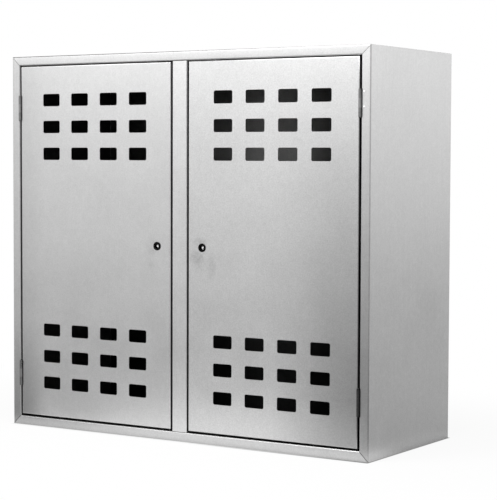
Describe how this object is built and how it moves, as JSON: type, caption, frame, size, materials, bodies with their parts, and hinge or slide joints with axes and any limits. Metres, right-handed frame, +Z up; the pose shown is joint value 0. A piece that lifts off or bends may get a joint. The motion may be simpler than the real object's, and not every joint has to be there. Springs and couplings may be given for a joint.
{
  "type": "gas bottle cabinet",
  "caption": "Free-standing folded galvanised steel gas bottle cabinet with two inset hinged doors, vent windows, a centre post and key-turned cam locks.",
  "frame": {"origin": "bottom centre of the whole cabinet, on the plane it stands on", "axes": "+Z up, +X across the width to the viewer's right, +Y from the doors to the back"},
  "size_m": [1, 0.405, 0.9075],
  "materials": {
    "galvanised_sheet": "galvanised, fine matte spangle",
    "zinc_plated_steel": "zinc plated, satin",
    "black_casting": "black coated die casting, semi-gloss",
    "bright_zinc": "bright zinc die casting"
  },
  "bodies": {
    "cabinet": {"top_panel": "galvanised_sheet", "floor_panel": "galvanised_sheet", "left_side_panel": "galvanised_sheet", "right_side_panel": "galvanised_sheet", "back_panel": "galvanised_sheet", "centre_post": "galvanised_sheet", "left_lower_hinge_frame_leaf": "zinc_plated_steel", "left_lower_hinge_pin": "zinc_plated_steel", "left_lower_hinge_frame_lower_rivet": "zinc_plated_steel", "left_lower_hinge_frame_upper_rivet": "zinc_plated_steel", "left_upper_hinge_frame_leaf": "zinc_plated_steel", "left_upper_hinge_pin": "zinc_plated_steel", "left_upper_hinge_frame_lower_rivet": "zinc_plated_steel", "left_upper_hinge_frame_upper_rivet": "zinc_plated_steel", "right_lower_hinge_frame_leaf": "zinc_plated_steel", "right_lower_hinge_pin": "zinc_plated_steel", "right_lower_hinge_frame_lower_rivet": "zinc_plated_steel", "right_lower_hinge_frame_upper_rivet": "zinc_plated_steel", "right_upper_hinge_frame_leaf": "zinc_plated_steel", "right_upper_hinge_pin": "zinc_plated_steel", "right_upper_hinge_frame_lower_rivet": "zinc_plated_steel", "right_upper_hinge_frame_upper_rivet": "zinc_plated_steel"},
    "left_door": {"left_door_panel": "galvanised_sheet", "left_lower_hinge_door_leaf": "zinc_plated_steel", "left_lower_hinge_door_lower_rivet": "zinc_plated_steel", "left_lower_hinge_door_upper_rivet": "zinc_plated_steel", "left_upper_hinge_door_leaf": "zinc_plated_steel", "left_upper_hinge_door_lower_rivet": "zinc_plated_steel", "left_upper_hinge_door_upper_rivet": "zinc_plated_steel", "left_lock_housing": "black_casting", "left_lock_nut": "zinc_plated_steel"},
    "left_lock": {"left_lock_driver": "bright_zinc", "left_lock_cam": "zinc_plated_steel", "left_lock_cam_screw": "zinc_plated_steel"},
    "right_door": {"right_door_panel": "galvanised_sheet", "right_lower_hinge_door_leaf": "zinc_plated_steel", "right_lower_hinge_door_lower_rivet": "zinc_plated_steel", "right_lower_hinge_door_upper_rivet": "zinc_plated_steel", "right_upper_hinge_door_leaf": "zinc_plated_steel", "right_upper_hinge_door_lower_rivet": "zinc_plated_steel", "right_upper_hinge_door_upper_rivet": "zinc_plated_steel", "right_lock_housing": "black_casting", "right_lock_nut": "zinc_plated_steel"},
    "right_lock": {"right_lock_driver": "bright_zinc", "right_lock_cam": "zinc_plated_steel", "right_lock_cam_screw": "zinc_plated_steel"}
  },
  "joints": [
    {"name": "left_door_hinge", "type": "hinge", "parent": "cabinet", "child": "left_door", "pos_m": [-0.4747, -0.1985, 0.45525], "axis": [0, 0, -1], "range_deg": [0, 180]},
    {"name": "right_door_hinge", "type": "hinge", "parent": "cabinet", "child": "right_door", "pos_m": [0.4747, -0.1985, 0.45525], "axis": [0, 0, 1], "range_deg": [0, 180]},
    {"name": "left_lock_turn", "type": "hinge", "parent": "left_door", "child": "left_lock", "pos_m": [-0.0633, -0.1875, 0.45525], "axis": [0, -1, 0], "range_deg": [0, 90]},
    {"name": "right_lock_turn", "type": "hinge", "parent": "right_door", "child": "right_lock", "pos_m": [0.0633, -0.1875, 0.45525], "axis": [0, 1, 0], "range_deg": [0, 90]}
  ]
}
